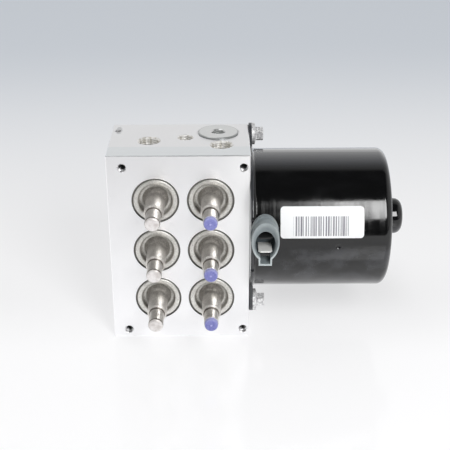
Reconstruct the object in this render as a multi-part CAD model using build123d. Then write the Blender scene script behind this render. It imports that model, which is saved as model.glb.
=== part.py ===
"""ABS brake module: valve block with six solenoid valves, its pump, and the motor that drives the pump.

Millimetres. X runs across the block to the motor, Y from the valve face to the back, Z up to the ports.
The origin is the centre of the block's bottom face.
"""

import os
from math import cos, hypot, radians, sin, sqrt, tan

from build123d import *

# Valve block, machined from aluminium bar
block_width = 88.0
block_depth = 58.0
block_height = 126.0
block_chamfer = 0.5
tool_run_out = 1.0  # how far a cutter starts outside the face that it cuts
least_edge = 1e-6
fine_edge = 0.4  # the usual small chamfer or round

# Clearances, on the radius or the side
running_clearance = 0.05
press_clearance = 0.02
free_clearance = 0.3
bolt_clearance = 0.3

# Valves: two columns of three on the front face. Heights are counted outwards from that face
isolation_column_x = -14.5
dump_column_x = 19.5
valve_row_z = (96.5, 62.5, 28.5)
collar_radius = 13.8
collar_depth = 5.0
collar_round = 0.9
groove_width = 0.9
groove_depth = 1.6
dish_radius = 10.5
dish_depth = 4.0
dish_round = 1.0
valve_body_radius = 10.0
valve_body_depth = 15.0
valve_nose_radius = 7.0
valve_nose_depth = 24.0
nose_seal_depth = 17.4
nose_seal_wire = 1.0
pin_radius = 1.2
pin_bore_radius = 1.6
seat_depth = 13.5
seat_orifice_radius = 0.7
nose_outlet_radius = 2.4
nose_outlet_depth = 16.0

# Valve sleeves: thin tubes, wide at the root, stepped down to a closed tip
sleeve_foot_radius = 8.0
sleeve_foot_height = 1.0
sleeve_flare_height = 5.2
sleeve_flare_round = 3.0
sleeve_root_radius = 6.0
sleeve_step_height = 19.8
sleeve_step_round = 0.5
sleeve_shoulder = 0.8
sleeve_bore_radius = 5.2
sleeve_height = 35.3
sleeve_tip_wall = 1.1
sleeve_tip_round = {"isolation": 1.4, "dump": 0.9}
sleeve_seam_width = 0.6  # turned groove where the step meets the narrow tube
sleeve_seam_depth = 0.3
tip_radius = {"isolation": 4.6, "dump": 4.5}
tip_bore_radius = 3.7
dump_cap_radius = 4.1
dump_cap_height = 3.2

# Valve armatures and their return springs
armature_travel = 0.4
armature_height = 13.6
armature_bottom = 4.0
armature_slot = 1.2
valve_spring_wire = 0.55
isolation_spring_radius = 3.6
dump_spring_radius = 2.9
valve_spring_turns = {"isolation": 3, "dump": 4}

# Ports for the brake pipes: x, y and the radius of the thread's mouth. The thread's own turns are left out
port_front_supply = (-19.1, -2.1)
port_small = (3.6, 3.6)
port_front_outlet = (26.3, -9.7)
wide_port_radius = 6.3
wide_port_mouth = 7.5
small_port_radius = 4.5
small_port_mouth = 5.2
port_depth = 13.0
port_relief = 0.7  # how much narrower a port's floor is than its thread
pipe_seat_height = 1.8
pipe_seat_share = 0.6  # the seat cone's foot, as a share of the port's radius
back_port_x = -14.5
back_port_rows = (0, 1)  # the valve rows that they lie behind

# Damper chamber under the large plug on top
damper_x = 24.4
damper_to_back = 16.7  # from its axis to the back face
damper_plug_radius = 12.8
damper_plug_rise = 0.9
damper_thread_radius = 12.0
damper_thread_depth = 12.0
damper_chamber_radius = 11.0
damper_chamber_depth = 27.0
damper_rim_chamfer = 0.4
damper_seat_gap = 0.7  # between the plug's rim and the wall of the round seat cut for it
damper_seat_depth = 0.5
damper_socket_across = 8.0
damper_socket_mouth = 4.9
damper_socket_lead = 1.2
damper_socket_depth = 6.0
plug_seal_wire = 0.9
plug_seal_wall = 1.0  # left between a plug's end and its seal's groove

# Ball plugs that close the ends of drillings
ball_radius = 2.0
ball_recess = 0.9
drilling_radius = 1.5
feed_radius = 2.0
down_drilling_x = -40.0
down_drilling_to_back = 13.0
down_drilling_depth = 33.3

# Holes for the controller's screws, and for the bracket on the left side
cover_hole_radius = 2.5
cover_hole_mouth = 2.9
cover_hole_depth = 12.0
cover_hole_centre = (2.7, 61.7)
cover_hole_spacing = (74.0, 112.8)
bracket_hole_radius = 3.3
bracket_hole_mouth = 3.9
bracket_hole_depth = 11.0
bracket_hole_y = 12.0
bracket_hole_z = (46.0, 114.0)

# Accumulators, two in the base, behind the valves
accumulator_x = 22.0
accumulator_radius = 12.0
accumulator_depth = 34.0
accumulator_piston_height = 10.0
accumulator_piston_wall = 2.2
accumulator_crown = 3.0
accumulator_crown_round = 0.8
accumulator_seal_wire = 1.1
accumulator_seal_drop = 5.2
accumulator_cover_height = 3.0
accumulator_cover_recess = 1.0
accumulator_cover_dish = 1.0
accumulator_cover_press = (5.0, 6.0, 0.8)  # the pressed step under a cover: inner and outer radius, depth
accumulator_spring_radius = 6.3
accumulator_spring_wire = 1.5
accumulator_spring_turns = 4

# Motor: its axis runs along X. Distances along it are counted from the block's right face
motor_y = 0.0
motor_z = 72.7
can_radius = 44.4
can_wall = 1.6
can_length = 87.4
can_round = 5.0
can_dome = 0.9
can_flat_radius = 20.5
can_boss_radius = 11.5
can_boss_length = 99.0
can_boss_round = 5.0
can_boss_root_round = 2.0
can_boss_wall = 1.9
flange_radius = 46.6
flange_thickness = 2.0
flange_round = 0.8
flange_root_round = 1.6
flange_dent_radius = 1.5
flange_dent_offset = 17.0
can_dimple_radius = 3.0
can_dimple_depth = 0.7
can_dimple_along = 53.5
can_dimple_angle = 0.5  # degrees below the front horizontal
ear_to_back = 5.8  # from the upper bolt's axis to the block's back face
ear_rise = 48.7  # from the motor's axis to a bolt's, along Z
ear_radius = 7.3
ear_root_radius = 15.0
ear_root_distance = 34.0

# Motor bolts, M6, with a flange under a hexagon head
bolt_radius = 3.0
bolt_length = 10.6
bolt_flange_radius = 7.0
bolt_flange_edge = 2.0
bolt_cone_height = 3.0
bolt_head_across = 8.0
bolt_head_height = 7.5
bolt_crown_radius = (4.7, 4.0)  # below and above the bevel on the hexagon's corners
bolt_crown_height = 0.5
bolt_head_dish_radius = 2.6
bolt_head_dish_depth = 0.8
bolt_hole_gap = 0.6

# Motor end plate and bearings
plate_thickness = 1.6
plate_rim_gap = 0.2
pilot_radius = 15.3
pilot_depth = 2.0
pilot_floor = 1.2
pilot_hole_radius = 7.0
bearing_cup_length = 7.6
front_bearing_radius = 13.0
front_bearing_width = 8.0
rear_bearing_radius = 9.5
rear_bearing_width = 7.0
rear_bearing_start = 87.5
bearing_shoulder = 0.35

# Shaft, eccentric and its ring
shaft_radius = 5.0
shaft_nose_radius = 4.0
shaft_nose_start = -13.4
shaft_journal_start = -3.4
shaft_rear_start = 76.0
shaft_rear_radius = 4.0
shaft_end = 95.0
eccentric_throw = 1.2
eccentric_radius = 6.5
eccentric_start = -12.2
eccentric_width = 8.6
ring_radius = 9.0
ring_start = -11.9
ring_width = 8.0
chamber_radius = 12.5
chamber_depth = 14.0

# Armature core, windings and commutator
core_radius = 33.4
core_start = 28.0
core_length = 24.0
core_slots = 12
slot_floor_radius = 15.0
slot_roof_radius = 31.6
slot_width = 7.2
slot_mouth = 2.2
slot_neck = 1.2  # along the radius, between a slot's widest part and its mouth
winding_end_length = 5.0
winding_end_radius = 26.0
winding_end_round = 2.0
winding_end_bore = 15.0
commutator_radius = 12.0
commutator_start = 8.0
commutator_length = 12.0
commutator_groove_width = 0.7
commutator_groove_depth = 1.0
riser_radius = 13.6
riser_width = 2.0

# Field magnets, two arcs
magnet_start = 23.0
magnet_length = 34.0
magnet_thickness = 8.2
magnet_arc = 132.0

# Brush card, brushes and their springs
card_thickness = 3.0
card_radius = 41.6
card_hole_radius = 16.4
brush_width = 8.0
brush_thickness = 6.0
brush_length = 11.0
brush_hollow = 1.0  # how far a brush's corners reach past the commutator's top
brush_start = 10.0
brush_gap = 0.12
holder_wall = 1.6
holder_inner_radius = 16.5
holder_outer_radius = 36.0
brush_spring_radius = 2.1
brush_spring_wire = 0.5
brush_spring_turns = 4

# Connector socket on the brush card, opening to the front
socket_along = 8.2
socket_z = 81.8
socket_rim_y = -58.0
socket_rim_half = (8.35, 12.6)
socket_collar_half = (8.7, 13.6)
socket_collar_y = -50.6
socket_cavity_half = (6.1, 8.7)
socket_cavity_drop = 2.5  # its centre lies this far under the rim's, so the lip is widest on top
socket_mouth_edge = 0.9
socket_mouth_depth = 2.0
socket_depth = 14.5
key_width = 8.0
key_drop = 2.9
key_wall = 1.0
neck_half_height = 8.0
neck_half_width = 6.2
neck_round = 2.5
neck_reach = 14.5  # inwards from the collar, to the card's disc
blade_width = 8.2
blade_thickness = 0.8
blade_spacing = 9.1
blade_reach = 13.0
blade_tail = 4.0
blade_nose = 1.2

# Bar label on the can
label_start = 17.9
label_length = 50.9
label_low_angle = 6.5
label_high_angle = 32.0
label_thickness = 0.12
label_round = 2.2

# Pump, two pistons across the shaft
pump_along = -7.9
pump_bore_radius = 5.0
pump_bore_end = 6.0  # wall left in front of the bore
pump_plug_radius = 7.0
pump_plug_depth = 6.0
pump_plug_recess = 0.4
pump_plug_across = 6.0
pump_plug_socket = 3.5
pump_piston_radius = 3.2
pump_piston_share = 0.55  # its length, as a share of the room from the ring to the bore's end
pump_gap = 0.1
pump_sleeve_lead = 0.21  # where a sleeve starts, as a share of the same room
pump_sleeve_wall = 1.2
pump_orifice_radius = 1.0
pump_spring_radius = 2.4
pump_spring_wire = 0.5
pump_spring_turns = 3

# Places worked out from the sizes above
front_y = -block_depth / 2
back_y = block_depth / 2
left_x = -block_width / 2
right_x = block_width / 2
valve_columns = {"isolation": isolation_column_x, "dump": dump_column_x}
can_bore = can_radius - can_wall
pump_x = right_x + pump_along
pump_end = back_y - pump_plug_depth
socket_collar_back_y = -flange_radius - free_clearance
pump_front_end = block_depth / 2 - pump_bore_end
piston_inner = ring_radius + eccentric_throw + pump_gap
pump_room = pump_end - piston_inner
piston_outer = piston_inner + pump_piston_share * pump_room
pump_sleeve_start = piston_inner + pump_sleeve_lead * pump_room
damper_y = back_y - damper_to_back
accumulator_y = (front_y + valve_nose_depth + back_y) / 2
ear_offset = (back_y - ear_to_back - motor_y, ear_rise)
ear_distance = hypot(*ear_offset)


def facing(direction, x, y, z):
    """A place whose own Z points in the given direction."""
    return Plane(origin=(x, y, z), z_dir=direction)


def on_front(x, z):
    """A place on the front face, pointing out of it."""
    return facing((0, -1, 0), x, front_y, z)


def on_motor(along=0.0, up=0.0):
    """A place on the motor's axis, pointing away from the block, its own X pointing up."""
    return Plane(origin=(right_x + along, motor_y, motor_z + up), x_dir=(0, 0, 1), z_dir=(1, 0, 0))


def outline(corners):
    """A flat face from its corners, where a third number rounds that corner to its radius."""
    edges, last = [], None
    for i, corner in enumerate(corners):
        here = Vector(*corner[:2])
        if len(corner) == 3:
            back = (Vector(*corners[i - 1][:2]) - here).normalized()
            on = (Vector(*corners[(i + 1) % len(corners)][:2]) - here).normalized()
            half = radians(back.get_angle(on)) / 2
            reach, radius = corner[2] / tan(half), corner[2]
            start, end = here + back * reach, here + on * reach
            middle = here + (back + on).normalized() * (radius / sin(half) - radius)
            arc = ThreePointArc(start, middle, end)
        else:
            start = end = here
            arc = None
        if last is None:
            first = start
        elif (start - last).length > least_edge:
            edges.append(Line(last, start))
        if arc:
            edges.append(arc)
        last = end
    if (first - last).length > least_edge:
        edges.append(Line(last, first))
    return make_face(edges)


def turned(corners, place=Plane.XY):
    """A body turned about the place's Z from its half section, given as (radius, height) corners."""
    return place * revolve(Plane.XZ * outline(corners), Axis.Z)


def rod(radius, length, place=Plane.XY):
    """A plain cylinder that stands on the place."""
    return place * Cylinder(radius, length, align=(Align.CENTER, Align.CENTER, Align.MIN))


def tube(outer, inner, low, high, place=Plane.XY):
    """A plain tube between two heights over the place."""
    return turned([(inner, low), (outer, low), (outer, high), (inner, high)], place)


def hexagon(across_flats, low, high, place):
    """A hexagonal prism between two heights over the place."""
    sketch = RegularPolygon(across_flats / 2, 6, major_radius=False)
    return place * Pos(0, 0, low) * extrude(sketch, high - low)


def drilled(start, end, radius):
    """A round hole from one point to another."""
    run = Vector(*end) - Vector(*start)
    return rod(radius, run.length, Plane(origin=start, z_dir=run.normalized()))


def coil(mean_radius, wire, length, turns, place):
    """A compression spring between the place and the given length over it. Its wire is six-sided."""
    half = wire / 2
    path = Helix(pitch=(length - wire) / turns, height=length - wire, radius=mean_radius)
    across = Plane(origin=path @ 0, z_dir=path % 0)
    wound = sweep(across * RegularPolygon(half, 6), path=path, is_frenet=True)
    return place * Pos(0, 0, half) * wound


def seal_ring(outer_radius, wire_radius, height, place):
    """An O-ring, its section six-sided."""
    section = Plane.XZ * Pos(outer_radius - wire_radius, height) * RegularPolygon(wire_radius, 6)
    return place * revolve(section, Axis.Z)


def stepped_mouth(bore_radius, mouth_radius, depth):
    """Half section of a tapped hole, with its chamfered mouth and the tool's run-out over the face."""
    lead = mouth_radius - bore_radius
    return [
        (0, -depth), (bore_radius, -depth), (bore_radius, -lead), (mouth_radius, 0),
        (mouth_radius, tool_run_out), (0, tool_run_out),
    ]


def pipe_port(bore_radius, mouth_radius, place):
    """Cutter for a port: a tapped bore over a narrower floor, where a cone is left for the pipe's flare."""
    floor, seat = bore_radius - port_relief, bore_radius * pipe_seat_share
    bore_end = port_depth - pipe_seat_height - free_clearance
    bore = turned(stepped_mouth(bore_radius, mouth_radius, bore_end), place)
    ring = turned(
        [
            (seat, -port_depth), (floor, -port_depth), (floor, -bore_end), (0, -bore_end),
            (0, pipe_seat_height - port_depth), (feed_radius, pipe_seat_height - port_depth),
        ],
        place,
    )
    return bore + ring


def valve_pocket():
    """Half section of a valve's pocket, from its floor out past the face."""
    body, nose = valve_body_radius + running_clearance, valve_nose_radius + running_clearance
    collar = collar_radius + press_clearance
    groove = collar_radius + groove_width
    return [
        (0, -valve_nose_depth), (nose, -valve_nose_depth), (nose, -valve_body_depth),
        (body, -valve_body_depth), (body, -collar_depth), (collar, -collar_depth),
        (collar, -groove_depth), (groove, -groove_depth), (groove, tool_run_out), (0, tool_run_out),
    ]


def port_places():
    """The five ports for brake pipes, as (place, bore radius, mouth radius)."""
    ports = [
        (facing((0, 0, 1), *port_front_supply, block_height), wide_port_radius, wide_port_mouth),
        (facing((0, 0, 1), *port_front_outlet, block_height), wide_port_radius, wide_port_mouth),
        (facing((0, 0, 1), *port_small, block_height), small_port_radius, small_port_mouth),
    ]
    for row in back_port_rows:
        place = facing((0, 1, 0), back_port_x, back_y, valve_row_z[row])
        ports.append((place, wide_port_radius, wide_port_mouth))
    return ports


def blocked_drillings():
    """Drillings whose open ends are closed by balls: start on a face, direction inwards, length."""
    nose_y = front_y + (valve_nose_depth + nose_seal_depth) / 2 + nose_seal_wire
    across = [((left_x, nose_y, z), (1, 0, 0), dump_column_x - left_x) for z in valve_row_z]
    cross = [((left_x, accumulator_y, motor_z), (1, 0, 0), pump_x - left_x - pump_bore_radius)]
    down = ((down_drilling_x, back_y - down_drilling_to_back, block_height), (0, 0, -1), down_drilling_depth)
    rear = ((dump_column_x, back_y, valve_row_z[1]), (0, -1, 0), block_depth - valve_nose_depth)
    return [*across, *cross, down, rear]


def make_block():
    """The valve block: the bar with every pocket, port, chamber and drilling cut into it."""
    bar = Pos(0, 0, block_height / 2) * Box(block_width, block_depth, block_height)
    bar = chamfer(bar.edges(), block_chamfer)
    cuts = []
    for x in valve_columns.values():
        cuts += [turned(valve_pocket(), on_front(x, z)) for z in valve_row_z]
    for place, bore, mouth in port_places():
        cuts.append(pipe_port(bore, mouth, place))
    # Feeds from the ports' floors to the valves and the pump
    port_floor = block_height - port_depth + tool_run_out
    nose_end_y = front_y + valve_nose_depth
    cuts.append(drilled((*port_front_supply, port_floor), (*port_front_supply, valve_row_z[2]), feed_radius))
    cuts.append(drilled((*port_small, port_floor), (*port_small, motor_z), feed_radius))
    feed_end = valve_row_z[0] + valve_nose_radius
    cuts.append(drilled((*port_front_outlet, port_floor), (*port_front_outlet, feed_end), feed_radius))
    for row in back_port_rows:
        z = valve_row_z[row]
        floor_y = back_y - port_depth + tool_run_out
        cuts.append(drilled((back_port_x, floor_y, z), (back_port_x, nose_end_y, z), feed_radius))
    # Damper chamber, with the seat of its plug
    damper_place = facing((0, 0, 1), damper_x, damper_y, block_height)
    thread, seat = damper_thread_radius + press_clearance, damper_plug_radius + damper_seat_gap
    cuts.append(
        turned(
            [
                (0, -damper_chamber_depth), (damper_chamber_radius, -damper_chamber_depth),
                (damper_chamber_radius, -damper_thread_depth - free_clearance),
                (thread, -damper_thread_depth - free_clearance), (thread, -damper_seat_depth),
                (seat, -damper_seat_depth), (seat, tool_run_out), (0, tool_run_out),
            ],
            damper_place,
        )
    )
    # Accumulators, open downwards
    for x in (-accumulator_x, accumulator_x):
        cuts.append(rod(accumulator_radius, accumulator_depth, facing((0, 0, 1), x, accumulator_y, 0)))
        riser_top = (x, accumulator_y, motor_z)
        cuts.append(drilled((x, accumulator_y, accumulator_depth), riser_top, drilling_radius))
    # Chamber for the eccentric, with the motor's pilot bore, and the pump's bore across it
    pilot = pilot_radius + running_clearance
    cuts.append(rod(chamber_radius, chamber_depth, facing((-1, 0, 0), right_x, motor_y, motor_z)))
    cuts.append(rod(pilot, pilot_depth + free_clearance, facing((-1, 0, 0), right_x, motor_y, motor_z)))
    pump_place = facing((0, -1, 0), pump_x, back_y, motor_z)
    cuts.append(rod(pump_bore_radius, block_depth - pump_bore_end, pump_place))
    cuts.append(rod(pump_plug_radius + press_clearance, pump_plug_depth, pump_place))
    # Tapped holes
    for hole in cover_hole_places():
        cuts.append(turned(stepped_mouth(cover_hole_radius, cover_hole_mouth, cover_hole_depth), hole))
    for z in bracket_hole_z:
        place = facing((-1, 0, 0), left_x, bracket_hole_y, z)
        cuts.append(turned(stepped_mouth(bracket_hole_radius, bracket_hole_mouth, bracket_hole_depth), place))
    hole_depth = bolt_length - flange_thickness + bolt_hole_gap
    for place in motor_bolt_places():
        cuts.append(place * Pos(0, 0, -hole_depth) * rod(bolt_radius + press_clearance, hole_depth))
    for start, direction, length in blocked_drillings():
        end = Vector(*start) + Vector(*direction) * length
        cuts.append(drilled(start, tuple(end), drilling_radius))
        seat_end = Vector(*start) + Vector(*direction) * (ball_recess + 2 * ball_radius)
        cuts.append(drilled(start, tuple(seat_end), ball_radius + press_clearance))
    return bar - cuts


def cover_hole_places():
    """The four tapped holes for the controller, on the front face."""
    (x, z), (across, up) = cover_hole_centre, cover_hole_spacing
    return [on_front(x + i * across / 2, z + k * up / 2) for i in (-1, 1) for k in (-1, 1)]


def motor_bolt_places():
    """Where the motor's two bolts enter the block's right face, one above and behind, one below in front."""
    return [on_motor() * Pos(k * ear_offset[1], -k * ear_offset[0], 0) for k in (1, -1)]


def make_balls():
    """The ball plugs, each pressed in just under its face."""
    balls = []
    for start, direction, _ in blocked_drillings():
        centre = Vector(*start) + Vector(*direction) * (ball_recess + ball_radius)
        balls.append(Pos(*centre) * Sphere(ball_radius))
    return balls


def make_valve_body(place):
    """A valve's body: collar, dish round the sleeve, nose with its O-ring groove, pin bore and seat."""
    seal_low = nose_seal_depth + nose_seal_wire + running_clearance
    seal_high = nose_seal_depth - nose_seal_wire - running_clearance
    seal_floor = valve_nose_radius - 2 * nose_seal_wire
    return turned(
        [
            (pin_bore_radius, -dish_depth), (dish_radius, -dish_depth, dish_round),
            (dish_radius, 0, dish_round), (collar_radius, 0, collar_round),
            (collar_radius, -collar_depth), (valve_body_radius, -collar_depth),
            (valve_body_radius, -valve_body_depth), (valve_nose_radius, -valve_body_depth),
            (valve_nose_radius, -seal_high), (seal_floor, -seal_high), (seal_floor, -seal_low),
            (valve_nose_radius, -seal_low), (valve_nose_radius, -valve_nose_depth),
            (nose_outlet_radius, -valve_nose_depth), (nose_outlet_radius, -nose_outlet_depth),
            (seat_orifice_radius, -nose_outlet_depth), (seat_orifice_radius, -seat_depth),
            (pin_bore_radius, -seat_depth),
        ],
        place,
    )


def make_valve_sleeve(kind, place):
    """A drawn sleeve: foot in the dish, flare, wide root, step, and closed tip."""
    foot, edge = -dish_depth, sleeve_tip_round[kind]
    seam = tip_radius[kind] - sleeve_seam_depth
    step_end = sleeve_step_height + sleeve_root_radius - seam
    tip = [(tip_radius[kind], sleeve_height, edge)]
    if kind == "dump":
        cap_low = sleeve_height - dump_cap_height
        tip = [
            (tip_radius[kind], cap_low), (dump_cap_radius, cap_low + fine_edge),
            (dump_cap_radius, sleeve_height, edge),
        ]
    bore_end = sleeve_step_height - sleeve_shoulder
    return turned(
        [
            (sleeve_bore_radius, foot), (sleeve_foot_radius, foot),
            (sleeve_foot_radius, foot + sleeve_foot_height),
            (sleeve_root_radius, foot + sleeve_flare_height, sleeve_flare_round),
            (sleeve_root_radius, sleeve_step_height, sleeve_step_round), (seam, step_end),
            (seam, step_end + sleeve_seam_width), (tip_radius[kind], step_end + sleeve_seam_width),
            *tip, (0, sleeve_height), (0, sleeve_height - sleeve_tip_wall),
            (tip_bore_radius, sleeve_height - sleeve_tip_wall), (tip_bore_radius, bore_end + sleeve_shoulder),
            (sleeve_bore_radius, bore_end),
        ],
        place,
    )


def make_valve_armature(kind, place):
    """An armature with the pin that opens or shuts the seat. The dump valve's rests on its seat."""
    lift = armature_travel + running_clearance if kind == "isolation" else running_clearance
    low = armature_bottom if kind == "isolation" else -dish_depth + free_clearance
    high = armature_bottom + armature_height
    radius = sleeve_bore_radius - running_clearance
    body = turned([(0, low), (radius, low), (radius, high), (0, high)], place)
    side = Box(armature_slot, armature_slot * 2, 2 * (high - low))
    for sign in (-1, 1):
        body -= place * Pos(sign * radius, 0, (high + low) / 2) * side
    return body + rod(pin_radius, low + seat_depth - lift, place * Pos(0, 0, lift - seat_depth))


def make_valve_spring(kind, place):
    """A return spring: under the isolation valve's armature, in the tip of the dump valve's sleeve."""
    gap = armature_travel + running_clearance
    if kind == "isolation":
        low, high, radius = -dish_depth, armature_bottom - gap, isolation_spring_radius
    else:
        low, high = armature_bottom + armature_height + gap, sleeve_height - sleeve_tip_wall
        radius = dump_spring_radius
    return coil(radius, valve_spring_wire, high - low, valve_spring_turns[kind], place * Pos(0, 0, low))


def make_damper_plug():
    """The large screwed plug, its rim proud of the top face, with a hexagon socket."""
    place = facing((0, 0, 1), damper_x, damper_y, block_height)
    seal_floor = damper_thread_radius - 2 * plug_seal_wire
    seal_low = damper_thread_depth - plug_seal_wall
    seal_high = seal_low - 2 * plug_seal_wire - 2 * running_clearance
    body = turned(
        [
            (0, -damper_thread_depth), (damper_thread_radius - plug_seal_wall, -damper_thread_depth),
            (damper_thread_radius, -seal_low), (seal_floor, -seal_low), (seal_floor, -seal_high),
            (damper_thread_radius, -seal_high), (damper_thread_radius, -damper_seat_depth),
            (damper_plug_radius, -damper_seat_depth),
            (damper_plug_radius, damper_plug_rise - damper_rim_chamfer),
            (damper_plug_radius - damper_rim_chamfer, damper_plug_rise), (0, damper_plug_rise),
        ],
        place,
    )
    top, lead = damper_plug_rise, damper_plug_rise - damper_socket_lead
    socket = hexagon(damper_socket_across, top - damper_socket_depth, top + tool_run_out, place)
    mouth = turned(
        [
            (0, lead), (damper_socket_mouth - damper_socket_lead, lead), (damper_socket_mouth, top),
            (damper_socket_mouth, top + tool_run_out), (0, top + tool_run_out),
        ],
        place,
    )
    return body - [socket, mouth]


def make_pump_plug():
    """The screwed plug behind the pump, flush with the back face."""
    place = facing((0, 1, 0), pump_x, back_y, motor_z)
    floor = pump_plug_radius - 2 * plug_seal_wire
    seal_low = pump_plug_depth - plug_seal_wall
    seal_high = seal_low - 2 * plug_seal_wire - 2 * running_clearance
    body = turned(
        [
            (0, -pump_plug_depth), (pump_plug_radius, -pump_plug_depth), (pump_plug_radius, -seal_low),
            (floor, -seal_low), (floor, -seal_high), (pump_plug_radius, -seal_high),
            (pump_plug_radius, -pump_plug_recess, fine_edge), (0, -pump_plug_recess),
        ],
        place,
    )
    return body - hexagon(pump_plug_across, -pump_plug_recess - pump_plug_socket, tool_run_out, place)


def make_plug_seals():
    """O-rings of the damper plug and the pump plug."""
    damper = facing((0, 0, 1), damper_x, damper_y, block_height)
    pump = facing((0, 1, 0), pump_x, back_y, motor_z)
    rise = plug_seal_wall + plug_seal_wire + running_clearance
    return [
        seal_ring(damper_thread_radius, plug_seal_wire, rise - damper_thread_depth, damper),
        seal_ring(pump_plug_radius, plug_seal_wire, rise - pump_plug_depth, pump),
    ]


def accumulator_place(side, height):
    """A place on an accumulator's axis, pointing up, at the given height."""
    return facing((0, 0, 1), side * accumulator_x, accumulator_y, height)


def make_accumulator_piston(side):
    """A cup open downwards, with a groove for its seal. Stored at the top of its bore."""
    top = accumulator_depth - free_clearance
    low = top - accumulator_piston_height
    radius = accumulator_radius - running_clearance
    inner = radius - accumulator_piston_wall - 2 * accumulator_seal_wire
    seal_high = top - accumulator_seal_drop + accumulator_seal_wire + running_clearance
    seal_low = top - accumulator_seal_drop - accumulator_seal_wire - running_clearance
    groove = radius - 2 * accumulator_seal_wire
    return turned(
        [
            (0, top), (radius, top, accumulator_crown_round), (radius, seal_high), (groove, seal_high),
            (groove, seal_low), (radius, seal_low), (radius, low), (inner, low),
            (inner, top - accumulator_crown), (0, top - accumulator_crown),
        ],
        accumulator_place(side, 0),
    )


def make_accumulator_seal(side):
    """The O-ring in a piston's groove."""
    height = accumulator_depth - free_clearance - accumulator_seal_drop
    radius = accumulator_radius - running_clearance
    return seal_ring(radius, accumulator_seal_wire, height, accumulator_place(side, 0))


def make_accumulator_spring(side):
    """The spring from a cover's dish up into its piston."""
    low = accumulator_cover_recess + accumulator_cover_height - accumulator_cover_dish
    high = accumulator_depth - free_clearance - accumulator_crown
    size = accumulator_spring_radius, accumulator_spring_wire, high - low, accumulator_spring_turns
    return coil(*size, accumulator_place(side, low))


def make_accumulator_covers():
    """Pressed covers, set a little inside the base. A shallow dish centres the spring."""
    low, high = accumulator_cover_recess, accumulator_cover_recess + accumulator_cover_height
    radius = accumulator_radius - press_clearance
    dish, floor = accumulator_spring_radius + accumulator_spring_wire, high - accumulator_cover_dish
    inner, outer, deep = accumulator_cover_press
    section = [
        (0, low + deep), (inner, low + deep), (outer, low), (radius, low, fine_edge), (radius, high),
        (dish, high), (dish, floor), (0, floor),
    ]
    return [turned(section, accumulator_place(side, 0)) for side in (-1, 1)]


def make_can():
    """The drawn motor can: flange with ears, cup, domed end and bearing boss, one shell."""
    end, boss_bore = can_length - can_dome, rear_bearing_radius + running_clearance
    wall = turned(
        [
            (can_bore, 0), (flange_radius, 0), (flange_radius, flange_thickness, flange_round),
            (can_radius, flange_thickness, flange_root_round), (can_radius, end, can_round),
            (can_flat_radius, can_length), (can_boss_radius, can_length, can_boss_root_round),
            (can_boss_radius, can_boss_length, can_boss_round), (0, can_boss_length),
            (0, can_boss_length - can_boss_wall),
            (boss_bore, can_boss_length - can_boss_wall, can_boss_round - can_boss_wall),
            (boss_bore, can_length - can_wall), (can_flat_radius, can_length - can_wall),
            (can_bore, end - can_wall, can_round - can_wall),
        ],
        on_motor(),
    )
    ears = []
    for k in (1, -1):
        reach_y, reach_z = -k * ear_offset[0] / ear_distance, k * ear_offset[1] / ear_distance
        root = Pos(reach_z * ear_root_distance, reach_y * ear_root_distance) * Circle(ear_root_radius)
        tip = Pos(reach_z * ear_distance, reach_y * ear_distance) * Circle(ear_radius)
        shape = make_hull([*root.edges(), *tip.edges()]) - Circle(can_bore + can_wall / 2)
        hole = Pos(reach_z * ear_distance, reach_y * ear_distance) * Circle(bolt_radius + bolt_clearance)
        ears.append(on_motor() * extrude(shape - hole, flange_thickness))
    can = wall + ears
    # The window in the front edge that the socket's neck passes through
    window = neck_box(2 * free_clearance)
    dent_y = motor_y - sqrt(flange_radius**2 - flange_dent_offset**2)
    dent = Pos(right_x, dent_y, motor_z) * Rot(0, 90, 0) * Cylinder(flange_dent_radius, 4 * flange_thickness)
    dents = [Pos(0, 0, k * flange_dent_offset) * dent for k in (-1, 1)]
    angle = radians(can_dimple_angle)
    away = can_radius + can_dimple_radius - can_dimple_depth
    dimple_centre = (right_x + can_dimple_along, motor_y - away * cos(angle), motor_z - away * sin(angle))
    return can - [window, *dents, Pos(*dimple_centre) * Sphere(can_dimple_radius)]


def neck_box(room):
    """The socket's neck where it passes through the can's wall, grown by some room all round."""
    height, width = 2 * (neck_half_height + room), 2 * (neck_half_width + room)
    place = socket_place(socket_collar_back_y - 4 * room) * Pos(0, socket_cavity_drop)
    return place * extrude(RectangleRounded(width, height, neck_round), neck_reach + 4 * room)


def socket_place(y):
    """A place on the socket's axis, pointing into the motor. Its own Y points down."""
    return Plane(origin=(right_x + socket_along, y, socket_z), x_dir=(1, 0, 0), z_dir=(0, 1, 0))


def make_bolts():
    """The motor's flange bolts, seated on the ears."""
    bolts = []
    for place in motor_bolt_places():
        low, top = flange_thickness, flange_thickness + bolt_head_height
        cone = [
            (0, low), (bolt_flange_radius, low), (bolt_flange_radius, low + bolt_flange_edge),
            (bolt_head_across / 2, low + bolt_cone_height), (0, low + bolt_cone_height),
        ]
        wide, narrow = bolt_crown_radius
        head = hexagon(bolt_head_across, low, top, place)
        bevel = top - bolt_crown_height
        crown = turned([(0, low), (wide, low), (wide, bevel), (narrow, top), (0, top)], place)
        shank = rod(bolt_radius, bolt_length, place * Pos(0, 0, low - bolt_length))
        dish = rod(bolt_head_dish_radius, top, place * Pos(0, 0, top - bolt_head_dish_depth))
        bolts.append(turned(cone, place) + (head & crown) + shank - dish)
    return bolts


def make_end_plate():
    """The plate that closes the can, with a drawn cup that holds the bearing and pilots the motor."""
    cup = front_bearing_radius + running_clearance
    floor = -pilot_depth + pilot_floor
    rim = can_bore - plate_rim_gap
    return turned(
        [
            (pilot_hole_radius, -pilot_depth), (pilot_radius, -pilot_depth, fine_edge), (pilot_radius, 0),
            (rim, 0), (rim, plate_thickness), (pilot_radius, plate_thickness),
            (pilot_radius, bearing_cup_length), (cup, bearing_cup_length), (cup, floor),
            (pilot_hole_radius, floor),
        ],
        on_motor(),
    )


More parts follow.
